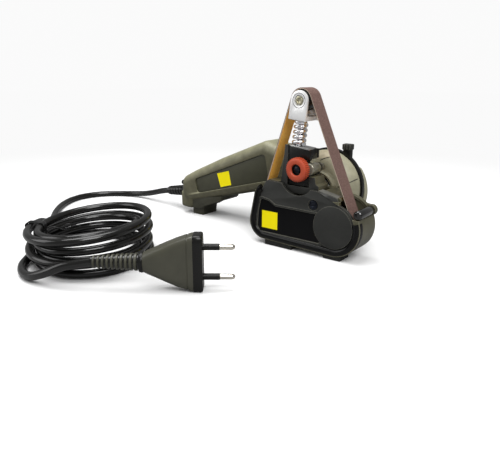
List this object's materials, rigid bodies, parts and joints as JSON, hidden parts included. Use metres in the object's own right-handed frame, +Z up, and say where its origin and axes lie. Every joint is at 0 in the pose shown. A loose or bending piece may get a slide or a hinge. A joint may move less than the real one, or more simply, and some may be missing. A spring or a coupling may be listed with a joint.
{
  "type": "electric belt knife sharpener",
  "caption": "Hand-held electric belt sharpener for knives and tools: motor head with drooping handle, belt cassette with sprung tension arm, coiled mains lead and flat plug.",
  "frame": {"origin": "under the middle of the tool without its lead, on the floor it stands on", "axes": "+X from the handle's end to the nose, +Y from the belt to the back of the motor head, +Z up"},
  "size_m": [0.3161, 0.2123, 0.1156],
  "materials": {
    "shell": "fine textured olive-grey moulding",
    "charcoal": "textured charcoal moulding",
    "black_plastic": "black satin moulding",
    "rubber": "soft black rubber",
    "steel": "turned steel",
    "spring": "bright spring wire",
    "alloy": "bright aluminium",
    "brass": "dull brass",
    "sleeve": "grey coated metal",
    "magnet": "sintered grey",
    "carbon": "pressed carbon",
    "holder": "brown phenolic",
    "knob": "red-orange moulding",
    "yellow": "plain yellow square",
    "abrasive": "mauve-brown abrasive grit on tan cloth",
    "cord": "black flexible jacket",
    "pins": "nickel plated"
  },
  "bodies": {
    "body": {"head_front": "shell", "head_rear": "shell", "head_foot": "rubber", "handle_front": "shell", "handle_rear": "shell", "handle_panel": "charcoal", "handle_foot": "rubber", "handle_screws": "steel", "end_cap": "black_plastic", "trigger_pin": "steel", "switch_body": "black_plastic", "motor_can": "steel", "motor_endplate": "magnet", "motor_magnets": "magnet", "brush_holders": "holder", "carbon_brushes": "carbon", "motor_bearings": "steel", "cord_gland": "cord", "cord_lead": "cord", "cord_coil": "cord", "cord_tail": "cord", "cord_tie": "black_plastic", "plug_body": "cord", "plug_relief": "cord", "plug_pins": "pins"},
    "locking_ring": {"locking_ring": "black_plastic"},
    "trigger": {"trigger": "black_plastic"},
    "cassette": {"cassette_housing": "charcoal", "cassette_cover": "charcoal", "label_plate": "black_plastic", "label_patch": "yellow", "cover_screw": "steel", "cassette_feet": "rubber", "guide_post": "black_plastic", "drive_bearings": "steel", "low_pin": "steel", "belt": "abrasive", "arm_tower": "charcoal", "carriage_pin": "steel"},
    "rotor": {"motor_shaft": "steel", "rotor_core": "steel", "commutator": "brass", "cooling_fan": "black_plastic", "pinion": "steel"},
    "idler": {"idler_gear": "brass"},
    "drive": {"drive_pulley": "steel", "drive_gear": "brass", "drive_shaft": "steel"},
    "low_pulley": {"low_pulley": "steel"},
    "carriage": {"arm_carriage": "black_plastic", "tracking_sleeve": "sleeve", "tracking_ring": "black_plastic", "spring_washer": "steel", "tension_spring": "spring"},
    "knob": {"tracking_knob": "knob", "tracking_screw": "steel"},
    "tension_arm": {"tension_rod": "steel", "tension_fork": "alloy", "top_axle": "brass"},
    "top_pulley": {"top_pulley": "black_plastic"}
  },
  "joints": [
    {"name": "ring_turn", "type": "hinge", "parent": "body", "child": "locking_ring", "pos_m": [0.05005, 0.0135, 0.0427], "axis": [0, 1, 0], "range_deg": [0, 25]},
    {"name": "trigger_press", "type": "hinge", "parent": "body", "child": "trigger", "pos_m": [0.00505, 0.0135, 0.042], "axis": [0, 1, 0], "range_deg": [0, 7], "stiffness_Nm_per_rad": 0.6, "springref_deg": -4.58},
    {"name": "cassette_turn", "type": "hinge", "parent": "body", "child": "cassette", "pos_m": [0.05005, 0.0135, 0.0427], "axis": [0, 1, 0], "range_deg": [0, 90]},
    {"name": "motor_spin", "type": "hinge", "parent": "cassette", "child": "rotor", "pos_m": [0.05005, 0.0135, 0.0427], "axis": [0, 1, 0], "continuous": true},
    {"name": "idler_spin", "type": "hinge", "parent": "cassette", "child": "idler", "pos_m": [0.06345, -0.0081, 0.03307], "axis": [0, 1, 0], "continuous": true},
    {"name": "drive_spin", "type": "hinge", "parent": "cassette", "child": "drive", "pos_m": [0.07715, -0.0165, 0.02322], "axis": [0, 1, 0], "continuous": true},
    {"name": "low_spin", "type": "hinge", "parent": "cassette", "child": "low_pulley", "pos_m": [0.01905, -0.0165, 0.016], "axis": [0, 1, 0], "continuous": true},
    {"name": "tracking_turn", "type": "hinge", "parent": "carriage", "child": "knob", "pos_m": [0.04735, -0.0275, 0.0601], "axis": [0, 1, 0], "range_deg": [-180, 180]},
    {"name": "carriage_tilt", "type": "hinge", "parent": "cassette", "child": "carriage", "pos_m": [0.04505, -0.0185, 0.0515], "axis": [1, 0, 0], "range_deg": [-0.7, 0.7]},
    {"name": "tension_slide", "type": "slide", "parent": "carriage", "child": "tension_arm", "axis": [0.1081, 0, 0.9941], "range_m": [-0.006, 0], "stiffness_N_per_m": 1200, "springref_m": 0.012, "deforming": ["tension_spring"]},
    {"name": "top_spin", "type": "hinge", "parent": "tension_arm", "child": "top_pulley", "pos_m": [0.04595, -0.01715, 0.107], "axis": [0, 1, 0], "continuous": true}
  ],
  "couplings": [
    {"joint": "idler_spin", "follows": "motor_spin", "ratio": -1},
    {"joint": "drive_spin", "follows": "motor_spin", "ratio": 0.95652},
    {"joint": "low_spin", "follows": "motor_spin", "ratio": 1.1765},
    {"joint": "top_spin", "follows": "motor_spin", "ratio": 1.5899}
  ]
}
